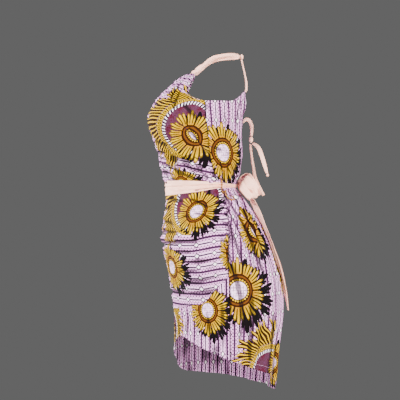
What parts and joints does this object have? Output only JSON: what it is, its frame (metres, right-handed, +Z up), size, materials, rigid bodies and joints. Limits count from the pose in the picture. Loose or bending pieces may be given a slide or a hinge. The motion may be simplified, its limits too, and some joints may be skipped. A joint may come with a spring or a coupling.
{
  "type": "ankara wax print dress",
  "caption": "Halter-neck wax print dress with sunflower print, high-low hem, open upper back with a tie, and a pink sash tied in a bow behind.",
  "frame": {"origin": "centre of the neck band at the height of the nape, where the wearer's neck holds the dress", "axes": "+Z up, the front of the dress faces -Y, the wearer's left is +X"},
  "size_m": [0.3709, 0.4196, 1.0046],
  "materials": {
    "wax_print": "matt waxed cotton, lilac ground with stripes, sunflowers and medallions",
    "pink_cloth": "soft plain pink cotton, slight sheen",
    "carrier_thread": "matt brown and yellow thread"
  },
  "bodies": {
    "root": {"bodice_front": "wax_print", "bodice_back_left": "wax_print", "bodice_back_right": "wax_print", "skirt_front": "wax_print", "skirt_front_lower": "wax_print", "skirt_back": "wax_print", "neck_band": "pink_cloth", "nape_knot": "pink_cloth", "back_strap_left": "pink_cloth", "back_strap_right": "pink_cloth", "sash": "pink_cloth", "sash_knot": "pink_cloth", "bow_loop_left": "pink_cloth", "bow_loop_right": "pink_cloth", "sash_tail_left": "pink_cloth", "sash_tail_right": "pink_cloth", "belt_carrier_left": "carrier_thread", "belt_carrier_right": "carrier_thread", "back_tie_loop_left": "pink_cloth", "back_tie_loop_right": "pink_cloth", "back_tie_knot": "pink_cloth", "back_tie_tail_left": "pink_cloth", "back_tie_tail_right": "pink_cloth", "tie_tail_knot": "pink_cloth"}
  },
  "joints": []
}
